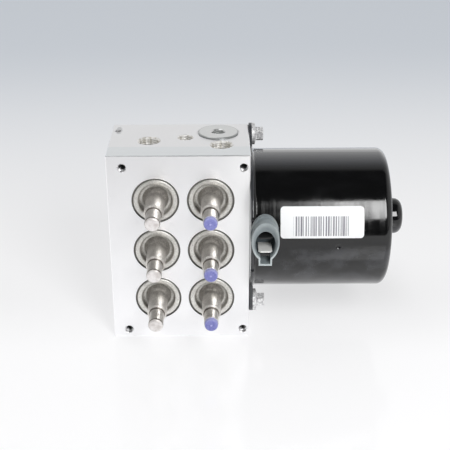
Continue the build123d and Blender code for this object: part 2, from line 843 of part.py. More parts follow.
def make_bearings():
    """Ball bearings, shown whole: the races' faces stand a little proud of the shield between them."""
    front = -pilot_depth + pilot_floor
    rings = []
    for start, outer, inner, width in (
        (front, front_bearing_radius, shaft_radius, front_bearing_width),
        (rear_bearing_start, rear_bearing_radius, shaft_rear_radius, rear_bearing_width),
    ):
        bore, end, race = inner + running_clearance, start + width, (outer - inner) / 4
        low, high = start + bearing_shoulder, end - bearing_shoulder
        rings.append(
            turned(
                [
                    (bore, start), (bore + race, start), (bore + race, low), (outer - race, low),
                    (outer - race, start), (outer, start), (outer, end), (outer - race, end),
                    (outer - race, high), (bore + race, high), (bore + race, end), (bore, end),
                ],
                on_motor(),
            )
        )
    return rings


def make_shaft():
    """The stepped shaft with the eccentric near its nose. At rest the eccentric points up."""
    shaft = turned(
        [
            (0, shaft_nose_start), (shaft_nose_radius, shaft_nose_start),
            (shaft_nose_radius, shaft_journal_start), (shaft_radius, shaft_journal_start),
            (shaft_radius, shaft_rear_start), (shaft_rear_radius, shaft_rear_start),
            (shaft_rear_radius, shaft_end), (0, shaft_end),
        ],
        on_motor(),
    )
    return shaft + rod(eccentric_radius, eccentric_width, on_motor(eccentric_start, eccentric_throw))


def make_eccentric_ring():
    """The ring that rolls against the pump's pistons while the eccentric turns inside it."""
    inner = eccentric_radius + running_clearance
    return tube(ring_radius, inner, 0, ring_width, on_motor(ring_start, eccentric_throw))


def slot_outline(room):
    """Half of a core slot's outline, mirrored into the whole: parallel sides and a narrow mouth."""
    half, mouth = slot_width / 2 - room, slot_mouth / 2 - room
    low, high = slot_floor_radius + room, slot_roof_radius - room
    corners = [(low, -half / 2), (high, -half), (high + slot_neck, -mouth)]
    return corners + [(r, -y) for r, y in reversed(corners)]


def make_core():
    """The armature's stack of laminations, with slots for the windings."""
    stack = tube(core_radius, shaft_radius, 0, core_length)
    mouth = Pos(core_radius, 0) * Rectangle(2 * (core_radius - slot_roof_radius), slot_mouth)
    slot = make_face(Polyline(*slot_outline(0), close=True)) + mouth
    cutter = Pos(0, 0, -tool_run_out) * extrude(slot, core_length + 2 * tool_run_out)
    cuts = [Rot(0, 0, i * 360 / core_slots) * cutter for i in range(core_slots)]
    return on_motor(core_start) * (stack - cuts)


def make_windings():
    """The windings: a rounded ring over each end of the core, joined by the bars in its slots."""
    bar = extrude(make_face(Polyline(*slot_outline(free_clearance), close=True)), core_length)
    bars = [Rot(0, 0, i * 360 / core_slots) * bar for i in range(core_slots)]
    low, high, deep = winding_end_bore, winding_end_radius, winding_end_round
    front = turned([(low, -winding_end_length, deep), (high, -winding_end_length, deep), (high, 0), (low, 0)])
    top = core_length + winding_end_length
    rear = turned([(low, core_length), (high, core_length), (high, top, deep), (low, top, deep)])
    return on_motor(core_start) * (front + rear + bars)


def make_commutator():
    """The commutator: grooved barrel with a riser at the windings' side."""
    end = commutator_start + commutator_length
    barrel = turned(
        [
            (shaft_radius, commutator_start), (commutator_radius, commutator_start),
            (commutator_radius, end), (riser_radius, end), (riser_radius, end + riser_width),
            (shaft_radius, end + riser_width),
        ],
    )
    groove = Pos(riser_radius + commutator_radius - commutator_groove_depth, 0, end) * Box(
        2 * riser_radius, commutator_groove_width, 4 * commutator_length
    )
    cuts = [Rot(0, 0, i * 360 / core_slots) * groove for i in range(core_slots)]
    return on_motor() * (barrel - cuts)


def make_magnets():
    """Two arc magnets bonded inside the can, at its front and back."""
    outer = can_bore - running_clearance
    inner = outer - magnet_thickness
    section = outline([(inner, 0), (outer, 0), (outer, magnet_length), (inner, magnet_length)])
    arc = revolve(Plane.XZ * section, Axis.Z, magnet_arc)
    return [on_motor(magnet_start) * Rot(0, 0, middle - magnet_arc / 2) * arc for middle in (90, 270)]


def make_card():
    """The brush card, one moulding: disc, two brush holders, and the socket out through the can's window."""
    disc = tube(card_radius, card_hole_radius, plate_thickness, plate_thickness + card_thickness, on_motor())
    box_x = right_x + brush_start + brush_width / 2
    hollow = (brush_width + 2 * running_clearance, brush_thickness + 2 * running_clearance)
    low_x = right_x + plate_thickness
    high_x = right_x + brush_start + brush_width + holder_wall
    card = disc
    for side in (1, -1):
        middle = (holder_inner_radius + holder_outer_radius) / 2
        height = holder_outer_radius - holder_inner_radius
        block = Pos((low_x + high_x) / 2, motor_y, motor_z + side * middle) * Box(
            high_x - low_x, brush_thickness + 2 * holder_wall, height
        )
        channel = Pos(box_x, motor_y, motor_z + side * (middle - holder_wall)) * Box(*hollow, height)
        card = card + block - channel
    rim, collar = socket_section(*socket_rim_half), socket_section(*socket_collar_half)
    card += socket_place(socket_rim_y) * extrude(rim, socket_collar_back_y - socket_rim_y)
    card += socket_place(socket_collar_y) * extrude(collar, socket_collar_back_y - socket_collar_y)
    card += neck_box(0)
    return card - [socket_cavity(), *make_blades()]


def socket_section(half_width, half_height):
    """The socket's oval outline, with the square keyway under it."""
    drop = half_height + key_drop
    return Ellipse(half_width, half_height) + Pos(0, drop / 2) * Rectangle(key_width, drop)


def socket_cavity():
    """The room for the plug: a wide lip that narrows to an oval, with the keyway's slot under it."""
    mouth = Ellipse(*[half - socket_mouth_edge for half in socket_rim_half])
    oval = Pos(0, socket_cavity_drop) * Ellipse(*socket_cavity_half)
    drop = socket_rim_half[1] + key_drop - key_wall
    key = Pos(0, drop / 2) * Rectangle(key_width - 2 * key_wall, drop)
    lip = loft([mouth, Pos(0, 0, socket_mouth_depth) * oval])
    return socket_place(socket_rim_y) * (lip + extrude(oval + key, socket_depth))


def make_blades():
    """The two flat terminals, one over the other in the socket, each with a bevelled nose."""
    half, shoulder = blade_width / 2, blade_reach - blade_nose
    plan = outline([
        (-half, -blade_tail), (half, -blade_tail), (half, shoulder), (half - blade_nose, blade_reach),
        (blade_nose - half, blade_reach), (-half, shoulder),
    ])
    flat = extrude(plan, blade_thickness / 2, both=True)
    x, y, middle = right_x + socket_along, socket_rim_y + socket_depth, socket_z - socket_cavity_drop
    return [Pos(x, y, middle + k * blade_spacing / 2) * Rot(180, 0, 0) * flat for k in (-1, 1)]


def make_brush(side):
    """A carbon brush, its inner end hollowed to the commutator."""
    inner = commutator_radius + brush_gap
    middle = inner + brush_length / 2 - brush_hollow
    bar = Pos(right_x + brush_start + brush_width / 2, motor_y, motor_z + side * middle) * Box(
        brush_width, brush_thickness, brush_length
    )
    return bar - rod(inner, brush_width * 2, on_motor(brush_start - brush_width / 2))


def make_brush_spring(side):
    """The spring that presses a brush on the commutator."""
    low = commutator_radius + brush_gap + brush_length - brush_hollow
    high = holder_outer_radius - holder_wall
    x = right_x + brush_start + brush_width / 2
    place = facing((0, 0, side), x, motor_y, motor_z + side * low)
    return coil(brush_spring_radius, brush_spring_wire, high - low, brush_spring_turns, place)


def make_label():
    """A thin bar label that follows the can's curve."""
    inner = can_radius + press_clearance
    skin = tube(inner + label_thickness, inner, label_start, label_start + label_length, on_motor())
    middle = radians((label_low_angle + label_high_angle) / 2)
    chord = 2 * inner * sin(radians(label_high_angle - label_low_angle) / 2)
    centre = (right_x + label_start + label_length / 2, motor_y, motor_z)
    outwards = Plane(origin=centre, x_dir=(1, 0, 0), z_dir=(0, -cos(middle), sin(middle)))
    return skin & (outwards * extrude(RectangleRounded(label_length, chord, label_round), 2 * can_radius))


def pump_place(side):
    """A place on the motor's axis where the pump crosses it, pointing outwards to one side."""
    return facing((0, side, 0), pump_x, motor_y, motor_z)


def make_pump_sleeves():
    """Two pump sleeves, closed at their outer ends but for an outlet orifice."""
    bore = pump_piston_radius + running_clearance
    outer = pump_bore_radius - press_clearance
    ends = {1: pump_end, -1: pump_front_end}
    sleeves = []
    for side, end in ends.items():
        sleeves.append(
            turned(
                [
                    (bore, pump_sleeve_start), (outer, pump_sleeve_start), (outer, end),
                    (pump_orifice_radius, end), (pump_orifice_radius, end - pump_sleeve_wall),
                    (bore, end - pump_sleeve_wall),
                ],
                pump_place(side),
            )
        )
    return sleeves


def make_pump_piston(side):
    """A pump piston at the outer end of its stroke, just clear of the eccentric ring."""
    edge = pump_piston_radius - fine_edge
    return turned(
        [
            (0, piston_inner), (edge, piston_inner), (pump_piston_radius, piston_inner + fine_edge),
            (pump_piston_radius, piston_outer), (0, piston_outer),
        ],
        pump_place(side),
    )


def make_pump_spring(side):
    """The spring behind a pump piston."""
    end = (pump_end if side > 0 else pump_front_end) - pump_sleeve_wall
    place = pump_place(side) * Pos(0, 0, piston_outer)
    return coil(pump_spring_radius, pump_spring_wire, end - piston_outer, pump_spring_turns, place)


def all_nodes():
    """Every node's name with its solids."""
    nodes = {"valve_block": make_block(), "ball_plugs": make_balls()}
    seals = []
    for kind, x in valve_columns.items():
        for number, z in enumerate(valve_row_z, 1):
            place = on_front(x, z)
            nodes[f"{kind}_valve_body_{number}"] = make_valve_body(place)
            nodes[f"{kind}_valve_sleeve_{number}"] = make_valve_sleeve(kind, place)
            nodes[f"{kind}_valve_armature_{number}"] = make_valve_armature(kind, place)
            nodes[f"{kind}_valve_spring_{number}"] = make_valve_spring(kind, place)
            seals.append(seal_ring(valve_nose_radius, nose_seal_wire, -nose_seal_depth, place))
    nodes["valve_seals"] = seals
    nodes["damper_plug"] = make_damper_plug()
    nodes["pump_plug"] = make_pump_plug()
    nodes["plug_seals"] = make_plug_seals()
    for name, side in (("left", -1), ("right", 1)):
        nodes[f"accumulator_piston_{name}"] = make_accumulator_piston(side)
        nodes[f"accumulator_seal_{name}"] = make_accumulator_seal(side)
        nodes[f"accumulator_spring_{name}"] = make_accumulator_spring(side)
    nodes["accumulator_covers"] = make_accumulator_covers()
    nodes["motor_can"] = make_can()
    nodes["motor_bolts"] = make_bolts()
    nodes["motor_end_plate"] = make_end_plate()
    nodes["motor_bearings"] = make_bearings()
    nodes["motor_shaft"] = make_shaft()
    nodes["eccentric_ring"] = make_eccentric_ring()
    nodes["armature_core"] = make_core()
    nodes["armature_windings"] = make_windings()
    nodes["commutator"] = make_commutator()
    nodes["field_magnets"] = make_magnets()
    nodes["brush_card"] = make_card()
    nodes["connector_blades"] = make_blades()
    for name, side in (("upper", 1), ("lower", -1)):
        nodes[f"brush_{name}"] = make_brush(side)
        nodes[f"brush_spring_{name}"] = make_brush_spring(side)
    nodes["can_label"] = make_label()
    nodes["pump_sleeves"] = make_pump_sleeves()
    for name, side in (("back", 1), ("front", -1)):
        nodes[f"pump_piston_{name}"] = make_pump_piston(side)
        nodes[f"pump_spring_{name}"] = make_pump_spring(side)
    return nodes


os.makedirs("parts", exist_ok=True)
for name, made in all_nodes().items():
    shape = Compound([s for m in made for s in m.solids()]) if isinstance(made, list) else made
    export_step(shape, os.path.join("parts", f"{name}.step"))
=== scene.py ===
"""Dresses the brake module for the photograph: finishes, threads, springs, light, floor and camera.

Metres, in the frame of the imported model: X to the motor, -Y out of the valve face, +Z up to the ports. Places
and sizes in a finish are millimetres.
"""

from math import cos, pi, radians, sin, tau

import bpy
import numpy as np
from mathutils import Matrix, Vector


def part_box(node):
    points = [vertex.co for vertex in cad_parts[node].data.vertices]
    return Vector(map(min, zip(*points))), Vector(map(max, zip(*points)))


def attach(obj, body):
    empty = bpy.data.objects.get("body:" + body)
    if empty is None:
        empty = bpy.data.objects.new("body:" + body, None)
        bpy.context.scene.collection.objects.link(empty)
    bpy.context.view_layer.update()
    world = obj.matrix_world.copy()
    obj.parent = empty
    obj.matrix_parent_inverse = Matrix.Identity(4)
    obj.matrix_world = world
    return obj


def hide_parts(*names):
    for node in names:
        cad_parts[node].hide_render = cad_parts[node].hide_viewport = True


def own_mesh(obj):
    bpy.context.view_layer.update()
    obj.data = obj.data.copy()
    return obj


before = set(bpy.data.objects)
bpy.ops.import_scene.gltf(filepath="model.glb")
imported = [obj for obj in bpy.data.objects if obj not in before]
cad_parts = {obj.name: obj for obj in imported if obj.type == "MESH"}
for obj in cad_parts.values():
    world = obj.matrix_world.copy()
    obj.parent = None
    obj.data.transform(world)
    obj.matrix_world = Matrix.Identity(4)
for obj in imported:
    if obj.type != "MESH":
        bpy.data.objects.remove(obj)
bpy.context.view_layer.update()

# Valve block: a bar of aluminium, sawn and face-milled all round, then drilled and bored. Its faces keep the
# cutter's fine lines, drawn upwards on the front, and small scuffs from handling.
mm = 0.001


class Wire:
    """An output in a node tree. Arithmetic on it adds Math nodes, and node() adds any other node."""

    def __init__(self, tree, socket):
        self.tree, self.socket = tree, socket

    def node(self, kind, inputs, output=0, **settings):
        """Adds a node: its settings first, then its inputs by name or number."""
        made = self.tree.nodes.new("ShaderNode" + kind)
        for name, value in settings.items():
            setattr(made, name, value)
        for name, value in inputs.items():
            if isinstance(value, Wire):
                self.tree.links.new(value.socket, made.inputs[name])
            else:
                made.inputs[name].default_value = value
        return Wire(self.tree, made.outputs[output])

    def math(self, operation, *others):
        return self.node("Math", dict(enumerate((self, *others))), operation=operation)

    def __add__(self, other):
        return self.math("ADD", other)

    def __sub__(self, other):
        return self.math("SUBTRACT", other)

    def __rsub__(self, other):
        return self.node("Math", {0: other, 1: self}, operation="SUBTRACT")

    def __mul__(self, other):
        return self.math("MULTIPLY", other)

    def __truediv__(self, other):
        return self.math("DIVIDE", other)

    def __gt__(self, other):
        return self.math("GREATER_THAN", other)

    def __lt__(self, other):
        return self.math("LESS_THAN", other)

    __radd__ = __add__
    __rmul__ = __mul__

    def rise(self, low, high):
        """0 below low and 1 above high, with a smooth step between. The other way round if low is greater."""
        ends = {"Value": self, "From Min": low, "From Max": high}
        return self.node("MapRange", ends, interpolation_type="SMOOTHSTEP")

    def tint(self, low, high):
        """A colour that goes from low to high as this value goes from 0 to 1. Each is a colour or a wire."""
        low, high = (end if isinstance(end, Wire) else (*end, 1.0) for end in (low, high))
        return self.node("Mix", {0: self, 6: low, 7: high}, output=2, data_type="RGBA")

    def grain(self, size, stretch=(1, 1, 1), detail=3):
        """Noise from 0 to 1 on this position. Its features are about the given size, in the same units."""
        scaled = self.node("VectorMath", {0: self, 1: stretch}, operation="MULTIPLY")
        return self.node("TexNoise", {"Vector": scaled, "Scale": 1 / size, "Detail": detail})


class Finish:
    """A material on one Principled shader. at is the point on the object, in mm, and x, y and z its parts."""

    def __init__(self, name, **fixed):
        self.material = bpy.data.materials.new(name)
        self.material.use_nodes = True
        tree = self.material.node_tree
        self.shader = tree.nodes["Principled BSDF"]
        point = Wire(tree, tree.nodes.new("ShaderNodeTexCoord").outputs["Object"])
        self.at = point.node("VectorMath", {0: point, "Scale": 1 / mm}, operation="SCALE")
        self.x, self.y, self.z = (self.at.node("SeparateXYZ", {0: self.at}, output=i) for i in range(3))
        self.set(**fixed)

    def set(self, **sockets):
        """Sets or links the shader's sockets. Base_Color stands for Base Color."""
        for name, value in sockets.items():
            target = self.shader.inputs[name.replace("_", " ")]
            if isinstance(value, Wire):
                value.tree.links.new(value.socket, target)
            else:
                target.default_value = value

    def relief(self, height, depth):
        """Bumps of the given depth in millimetres where the height goes from 0 to 1."""
        self.set(Normal=height.node("Bump", {"Height": height, "Distance": depth * mm, "Strength": 1.0}))

    def away(self, centre, across):
        """Distance from an axis through the centre, counted over two axes, such as "xz"."""
        offsets = [getattr(self, axis) - centre["xyz".index(axis)] for axis in across]
        squares = offsets[0] * offsets[0] + offsets[1] * offsets[1]
        return squares.math("SQRT")

    def dress(self, *names):
        """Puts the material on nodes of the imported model."""
        for name in names:
            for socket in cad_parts[name].material_slots:
                socket.link = "OBJECT"
                socket.material = self.material


top_z, front_y = 126.0, -29.0
valve_pitch = 34.0
valve_x = {"isolation": -14.5, "dump": 19.5}
valve_z = (96.5, 62.5, 28.5)
screw_holes = [(x, z) for x in (-34.3, 39.7) for z in (5.3, 118.1)]
screw_mouth = 3.2
left_port, right_port, small_port = (-19.1, -2.1), (26.3, -9.7), (3.6, 3.6)

block = Finish("milled_aluminium", Metallic=0.85)
lines = block.at.grain(0.35, stretch=(1, 1, 0.03))
cloud = block.at.grain(22.0)
scuff = block.at.grain(3.0, detail=6).rise(0.62, 0.75)


def from_nearest(place, first):
    """How far a place is past the nearest of the valves' rows or columns, of which one is the first."""
    half = valve_pitch / 2
    return (place - first + half).math("FLOORED_MODULO", valve_pitch) - half


# The valves stand equally far apart in both directions, so one distance serves for the painted shade in
# the caulking groove round all six. It lies just under the front face, and the pattern ends beyond the
# outer valves.
sideways, upwards = from_nearest(block.x, valve_x["isolation"]), from_nearest(block.z, valve_z[-1])
out = (sideways * sideways + upwards * upwards).math("SQRT")
under_front = (block.y > front_y + 0.03) * (block.y < front_y + 2.1)
between_columns, middle_row = sum(valve_x.values()) / 2, valve_z[1]
round_valves = block.x.math("COMPARE", between_columns, 33.0) * block.z.math("COMPARE", middle_row, 50.0)
caulking_groove_shade = out.rise(13.5, 13.8) * out.rise(15.0, 14.6) * under_front * round_valves

# On the top a stripe along the front edge is a little bluer, the edge itself is dull, and one corner is
# scratched. The pipe ports' walls are duller too, with streaks from the drill, and painted darker as shade
# inside the holes.
top = block.z > top_z - 0.3
stripe = top * block.y.rise(-12.5, -14.0)
arris = top * (block.y < front_y + 0.3)
scratch_x, scratch_y = -39.5, 17.0
beside, behind = (block.x - scratch_x) / 2.4, (block.y - scratch_y) / 8.0
from_corner = (beside * beside + behind * behind).math("SQRT")
scratched = top * (from_corner + block.at.grain(1.6, detail=5)).rise(1.5, 1.1)
walls = 0.0
for (x, y), mouth in ((left_port, 7.6), (right_port, 7.6), (small_port, 5.6)):
    walls = walls + (block.away((x, y, 0), "xy") < mouth)
walls = walls * (block.z < top_z - 0.1) * (block.z > top_z - 18.0)
streak = block.at.grain(1.8, stretch=(1, 1, 0.04)).rise(0.40, 0.60)

# Deep in the four screw holes the walls are painted dark as shade, and a painted sheen lightens the front
# towards its right edge
screw_hole_shade = 0.0
for x, z in screw_holes:
    screw_hole_shade = screw_hole_shade + (block.away((x, 0, z), "xz") < screw_mouth)
screw_hole_shade = screw_hole_shade * block.y.rise(front_y + 3.2, front_y + 5.6) * (block.y < 0.0)
right_edge_sheen = block.x.rise(20.0, 43.0) * (block.y < front_y + 0.5) * block.z.rise(15.0, 60.0)

looks = cloud.tint((0.87, 0.87, 0.88), (0.94, 0.94, 0.95))
for share, colour in (
    (stripe, cloud.tint((0.80, 0.83, 0.845), (0.87, 0.895, 0.91))),
    (arris, cloud.tint((0.26, 0.29, 0.29), (0.40, 0.43, 0.43))),
    (0.6 * scratched, cloud.tint((0.36, 0.37, 0.38), (0.50, 0.51, 0.52))),
    (0.9 * screw_hole_shade, cloud.tint((0.03, 0.03, 0.03), (0.06, 0.06, 0.06))),
    (right_edge_sheen, cloud.tint((0.97, 0.97, 0.97), (1.0, 1.0, 1.0))),
    (walls, streak.tint((0.66, 0.64, 0.59), (0.93, 0.92, 0.90))),
    (caulking_groove_shade, cloud.tint((0.24, 0.235, 0.22), (0.32, 0.315, 0.30))),
):
    looks = share.tint(looks, colour)
block.set(Base_Color=looks)
block.set(Roughness=0.22 + 0.10 * cloud + 0.08 * lines + 0.10 * scuff + 0.3 * caulking_groove_shade + 0.25 * walls)
block.relief(lines + 0.3 * scuff, 0.010)
block.dress("valve_block")

# Threads in the block's holes: cut with a tap, so a thin ridge winds up each wall. Pipe ports on the top and
# back, screw holes on the front and left. A tap is given by radius, pitch and the bare lead below the mouth.
wide_tap, small_tap = (0.0063, 0.0015, 0.0016), (0.0045, 0.0010, 0.0010)
screw_tap, stud_tap = (0.0025, 0.0010, 0.0006), (0.0033, 0.00125, 0.0008)
tapped_depth, screw_depth = 0.0105, 0.0115
steps_a_turn = 40
left_x, back_y = -44.0, 29.0
stud_y, stud_rows = 12.0, (46.0, 114.0)


def tube(points):
    """A closed tube through a grid of points, steps along it by sides around it: a quad between each point
    and the next along and around, and a cap at both ends."""
    steps, sides = points.shape[:2]
    ring = np.arange(sides)
    next_one = (ring + 1) % sides
    start = np.arange(steps - 1)[:, None] * sides
    after = start + sides
    quads = np.stack([start + ring, after + ring, after + next_one, start + next_one], axis=-1)
    caps = [ring[::-1].tolist(), (sides * (steps - 1) + ring).tolist()]
    return points.reshape(-1, 3), quads.reshape(-1, 4).tolist() + caps


def ridge(radius, pitch, lead, depth, place):
    """A thread's ridge in a hole. Along it the angle runs round the axis and the height grows by one pitch a
    turn; across it four points go from the wall in to the crest and back. It shrinks to the wall over half a
    turn at both ends."""
    turns = (depth - lead) / pitch - 1
    angle = np.linspace(0, tau * turns, int(turns * steps_a_turn))[:, None]
    fade = np.clip(np.minimum(angle, tau * turns - angle) / pi, 0.02, 1)
    inwards = pitch * np.array([[-0.021, 0.252, 0.252, -0.021]])
    along = pitch * np.array([[-0.4, -0.1, 0.1, 0.4]])
    reach = radius - inwards * fade
    height = pitch * (angle / tau + 0.5) - depth + along * fade
    points = np.stack([reach * np.cos(angle), reach * np.sin(angle), height], axis=-1)
    return tube(points @ np.array(place.to_3x3()).T + np.array(place.translation))


def solid(name, parts, smooth=True):
    """One mesh object from several (points, faces) pairs."""
    points, faces, count = [], [], 0
    for some, their in parts:
        points.append(some)
        faces += [[i + count for i in face] for face in their]
        count += len(some)
    mesh = bpy.data.meshes.new(name)
    mesh.from_pydata(np.concatenate(points).tolist(), [], faces)
    mesh.polygons.foreach_set("use_smooth", [smooth] * len(mesh.polygons))
    made = bpy.data.objects.new(name, mesh)
    bpy.context.scene.collection.objects.link(made)
    return made


def facing(outwards, x, y, z):
    """The place of a hole's mouth at a point in millimetres, its Z pointing out of the hole."""
    turn = Vector(outwards).to_track_quat("Z", "Y").to_matrix().to_4x4()
    return Matrix.Translation(Vector((x, y, z)) * mm) @ turn


up, backwards, forwards, leftwards = (0, 0, 1), (0, 1, 0), (0, -1, 0), (-1, 0, 0)
ports = [
    ridge(*wide_tap, tapped_depth, facing(up, *left_port, top_z)),
    ridge(*wide_tap, tapped_depth, facing(up, *right_port, top_z)),
    ridge(*small_tap, tapped_depth, facing(up, *small_port, top_z)),
]
for z in valve_z[:2]:
    ports.append(ridge(*wide_tap, tapped_depth, facing(backwards, valve_x["isolation"], back_y, z)))
screws = [ridge(*screw_tap, screw_depth, facing(forwards, x, front_y, z)) for x, z in screw_holes]
studs = [ridge(*stud_tap, tapped_depth, facing(leftwards, left_x, stud_y, z)) for z in stud_rows]
for name, parts in (("port_threads", ports), ("controller_threads", screws), ("bracket_threads", studs)):
    threads = solid(name, parts)
    threads.data.materials.append(block.material)
    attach(threads, "housing")

# Valve bodies: turned from free-cutting steel, pressed in and caulked round the collar. The tool leaves fine
# rings on the collar and in the dish, which is a little darker, with random dark blotches. Painted shade
# darkens the dish's edge and the sleeve's root.
dish_edge, dish_floor = 10.9, 10.0
clean_steel, dark_steel = (0.84, 0.83, 0.79), (0.22, 0.205, 0.185)
for kind, x in valve_x.items():
    for number, z in enumerate(valve_z, 1):
        body = Finish(f"turned_steel_{kind}_{number}")
        out = body.away((x, 0, z), "xz")
        ring = (out * 18.0).math("SINE")
        blotch = body.at.grain(2.6)
        mottle = body.at.grain(0.9, detail=4).rise(0.40, 0.62)
        dish = out.rise(dish_edge, dish_floor) * (0.8 + 0.5 * blotch)
        # Painted shade in the corner at the dish's edge and round the sleeve's root
        corner_shade = (out - dish_floor).math("ABSOLUTE").rise(1.1, 0.2) * (body.y > front_y + 0.4)
        root_shade = out.rise(8.8, 7.4)
        dirt_and_shade = 0.10 * dish + 0.42 * corner_shade + 0.32 * root_shade + 0.28 * blotch + 0.20 * mottle
        body.set(Metallic=0.9 - 0.55 * dish)
        body.set(Base_Color=dirt_and_shade.math("MINIMUM", 1.0).tint(clean_steel, dark_steel))
        body.set(Roughness=0.36 + 0.16 * blotch + 0.03 * ring + 0.08 * dish)
        body.relief(ring, 0.004)
        body.dress(f"{kind}_valve_body_{number}")

# Valve sleeves: drawn from stainless steel tube and left bright, with random dark blotches and painted shade
# at the step and the foot. The dump valves' tips are dipped in blue paint, which marks them for assembly.
# The others' faces are pinkish, with a ring of painted shade just behind them.
tip_y, step_y = front_y - 35.3, front_y - 21.3
clean_sleeve, dark_sleeve = (0.82, 0.79, 0.75), (0.13, 0.115, 0.10)
for kind, x in valve_x.items():
    painted = kind == "dump"
    for number, z in enumerate(valve_z, 1):
        sleeve = Finish(f"drawn_stainless_{kind}_{number}", Metallic=0.9)
        drawn = sleeve.at.grain(0.5, stretch=(1, 0.06, 1))
        blotch = sleeve.at.grain(3.0)
        mottle = sleeve.at.grain(0.9, detail=4).rise(0.40, 0.62)
        # Painted shade at the step and the foot
        step_shade = (sleeve.y - step_y).math("ABSOLUTE").rise(0.75, 0.25)
        foot = sleeve.y.rise(front_y - 9.0, front_y - 2.0)
        grime_and_shade = 0.8 * step_shade + 0.55 * foot * blotch + 0.24 * blotch + 0.20 * mottle
        # A ring of painted shade just behind the pinkish face
        if not painted:
            grime_and_shade = grime_and_shade + 0.9 * (sleeve.y - (tip_y + 1.2)).math("ABSOLUTE").rise(0.55, 0.2)
        bright = grime_and_shade.math("MINIMUM", 1.0).tint(clean_sleeve, dark_sleeve)
        smooth = 0.34 + 0.12 * drawn
        if painted:
            paint = (sleeve.y + 1.4 * sleeve.at.grain(1.8)).rise(tip_y + 3.9, tip_y + 3.1)
            out = sleeve.away((x, 0, z), "xz")
            rubbed = 0.45 * out.rise(3.0, 4.6) + 0.5 * out.rise(0.9, 0.3)
            worn = 0.62 * sleeve.at.grain(1.1, detail=5) + rubbed
            blue = worn.tint((0.085, 0.09, 0.42), (0.50, 0.52, 0.80))
            sleeve.set(Base_Color=paint.tint(bright, blue), Roughness=smooth + 0.2 * paint)
            sleeve.set(Metallic=0.9 - 0.15 * foot - 0.9 * paint)
        else:
            face = sleeve.y.rise(tip_y + 0.6, tip_y + 0.2)
            pink = blotch.rise(0.3, 0.7).tint((0.66, 0.62, 0.60), (0.90, 0.87, 0.86))
            sleeve.set(Base_Color=face.tint(bright, pink), Roughness=smooth)
            sleeve.set(Metallic=0.9 - 0.15 * foot - 0.5 * face)
        sleeve.relief(drawn, 0.004)
        sleeve.dress(f"{kind}_valve_sleeve_{number}")

# Plugs, balls and covers that close the block's bores: the plugs turned from aluminium with a hexagon socket,
# the balls hard steel, the covers pressed from zinc-plated sheet like the motor's end plate.
plug_x, plug_y = 24.4, 12.3
plug = Finish("turned_plug", Metallic=1.0)
out = plug.away((plug_x, plug_y, 0), "xy")
ring = (out * 12.0).math("SINE")
# Painted shade: the top plug's outer edge is darkened into an outline
rim = 0.55 * out.rise(11.9, 12.4) * (plug.z > top_z - 6.0)
blotch = plug.at.grain(5.0)
turned = blotch.tint((0.74, 0.75, 0.75), (0.86, 0.87, 0.86))
plug.set(Base_Color=rim.tint(turned, (0.20, 0.22, 0.22)))
plug.set(Roughness=0.30 + 0.12 * blotch + 0.03 * ring)
plug.relief(ring, 0.006)
plug.dress("damper_plug", "pump_plug")

zinc = Finish("zinc_plate", Metallic=1.0)
spangle = zinc.at.grain(1.3)
haze = zinc.at.grain(6.0)
zinc.set(Base_Color=haze.tint((0.58, 0.60, 0.61), (0.74, 0.75, 0.75)))
zinc.set(Roughness=0.30 + 0.22 * spangle)
zinc.relief(spangle, 0.010)
zinc.dress("accumulator_covers", "motor_end_plate")

ball = Finish("ball_steel", Metallic=1.0)
ball.set(Base_Color=ball.at.grain(2.0).tint((0.30, 0.29, 0.28), (0.42, 0.41, 0.40)), Roughness=0.18)
ball.dress("ball_plugs")

# Motor bolts: pressed with a hexagon head on a flange, and plated with zinc, which has gone cloudy.
bolt = Finish("bolt_zinc", Metallic=0.6)
spangle = bolt.at.grain(1.1, detail=4)
bolt.set(Base_Color=spangle.rise(0.35, 0.65).tint((0.52, 0.52, 0.53), (0.92, 0.92, 0.92)))
bolt.set(Roughness=0.5 + 0.2 * spangle)
bolt.relief(spangle, 0.02)
bolt.dress("motor_bolts")

# Motor can: deep-drawn from sheet steel in one shell with its flange, ears and bearing boss, and painted
# gloss black. The paint has a faint orange peel, specks of dust and a rubbed band above the axis. A mottled
# painted reflection lightens the lower half, and painted sheen lightens the flange, the ears and the top.
motor_x, motor_z = 44.0, 72.7
can = Finish("gloss_black_paint", Metallic=0.0, Coat_Roughness=0.05)
peel = can.at.grain(1.6, detail=1)
dust = can.at.grain(0.9, detail=5).rise(0.70, 0.78)
smear = can.at.grain(9.0, stretch=(0.6, 1, 1), detail=5)
# Painted reflection: the lower half is lightened in a mottle; painted sheen on the flange, ears and top
lower_reflection = can.at.grain(15.0, detail=5).rise(0.42, 0.64) * can.z.rise(74.0, 66.0)
flange_sheen = can.x < motor_x + 2.1
dust_and_sheen = 0.2 * dust + 0.1 * smear + 0.60 * lower_reflection + 0.7 * flange_sheen + can.z.rise(112.5, 117.0)
can.set(Base_Color=dust_and_sheen.math("MINIMUM", 1.0).tint((0.002, 0.002, 0.002), (0.05, 0.052, 0.058)))
rubbed_z = 90.0
rubbed = (can.z - rubbed_z).math("ABSOLUTE").rise(13.0, 6.0)
streak = can.at.grain(2.2, stretch=(1, 0.04, 0.04)).rise(0.40, 0.62)
can.set(Roughness=0.05 + 0.12 * smear.rise(0.35, 0.75) + (0.06 + 0.10 * streak) * rubbed + 0.25 * dust)
can.set(Coat_Weight=0.07 + 0.9 * can.z.rise(114.0, 117.0))
can.relief(peel + 0.3 * dust, 0.004)
can.dress("motor_can")

